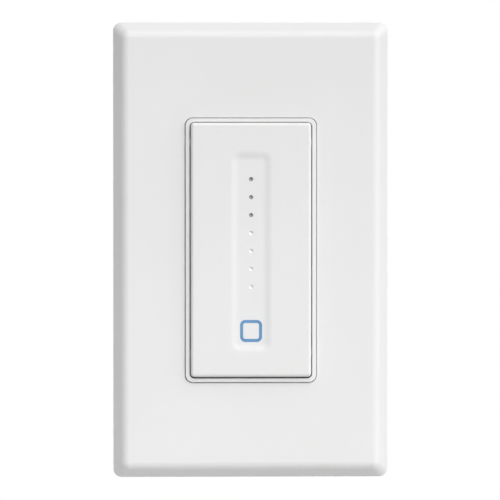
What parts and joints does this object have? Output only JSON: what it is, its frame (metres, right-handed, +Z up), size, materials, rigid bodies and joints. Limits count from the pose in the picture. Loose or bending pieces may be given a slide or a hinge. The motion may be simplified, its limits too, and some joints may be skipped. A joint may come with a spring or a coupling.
{
  "type": "smart dimmer switch",
  "caption": "Flush-mounted white touch dimmer with a hinged press panel, a row of indicator lights, a lit square ring, and a clip-on wall plate over a steel yoke and rear housing.",
  "frame": {"origin": "centre of the wall plate on the wall plane, midway between the two box screws", "axes": "+Z up along the plate's long side, +Y into the wall, +X to the right seen from the front"},
  "size_m": [0.069, 0.0442, 0.1142],
  "materials": {
    "white_plastic": "satin moulded",
    "backer_plastic": "matte moulded",
    "screw_steel": "zinc plated",
    "yoke_steel": "galvanised sheet",
    "fibre": "pressed fibre",
    "blue_lens": "lit from behind",
    "clear_lens": "clear polished",
    "film": "thin sheet",
    "circuit_board": "solder resist",
    "led_body": "moulded resin",
    "dark_plastic": "moulded",
    "shield_metal": "tinned sheet",
    "copper_winding": "enamelled wire",
    "ferrite": "sintered",
    "capacitor_plastic": "potted box",
    "varistor_coating": "dipped coating",
    "terminal_brass": "machined",
    "housing_plastic": "fine spark texture",
    "ground_green": "green plated"
  },
  "bodies": {
    "device": {"wall_plate": "white_plastic", "plate_backer": "backer_plastic", "plate_screws": "screw_steel", "yoke": "yoke_steel", "box_screws": "screw_steel", "screw_retainers": "fibre", "front_frame": "white_plastic", "led_board": "circuit_board", "dimmer_leds": "led_body", "ring_leds": "led_body", "tact_switch": "dark_plastic", "board_screws": "screw_steel", "board_header": "dark_plastic", "control_board": "circuit_board", "radio_shield": "shield_metal", "power_header": "dark_plastic", "insulator": "film", "power_transistors": "dark_plastic", "power_board": "circuit_board", "filter_choke": "copper_winding", "transformer": "ferrite", "electrolytic_capacitors": "dark_plastic", "film_capacitor": "capacitor_plastic", "varistor": "varistor_coating", "fuse": "dark_plastic", "terminal_clamps": "terminal_brass", "terminal_screws": "terminal_brass", "rear_housing": "housing_plastic", "housing_screws": "screw_steel", "ground_screw": "ground_green"},
    "panel": {"touch_panel": "white_plastic", "ring_lens": "blue_lens", "touch_film": "film", "light_pipe": "clear_lens"},
    "plunger": {"switch_plunger": "backer_plastic"}
  },
  "joints": [
    {"name": "panel_press", "type": "hinge", "parent": "device", "child": "panel", "pos_m": [0, -0.0049, 0.027], "axis": [1, 0, 0], "range_deg": [0, 0.8], "stiffness_Nm_per_rad": 4, "springref_deg": -0.46},
    {"name": "plunger_slide", "type": "slide", "parent": "device", "child": "plunger", "axis": [0, 1, 0], "range_m": [0, 0.0007]}
  ],
  "couplings": [
    {"joint": "plunger_slide", "follows": "panel_press", "m_per_rad": 0.0472}
  ]
}
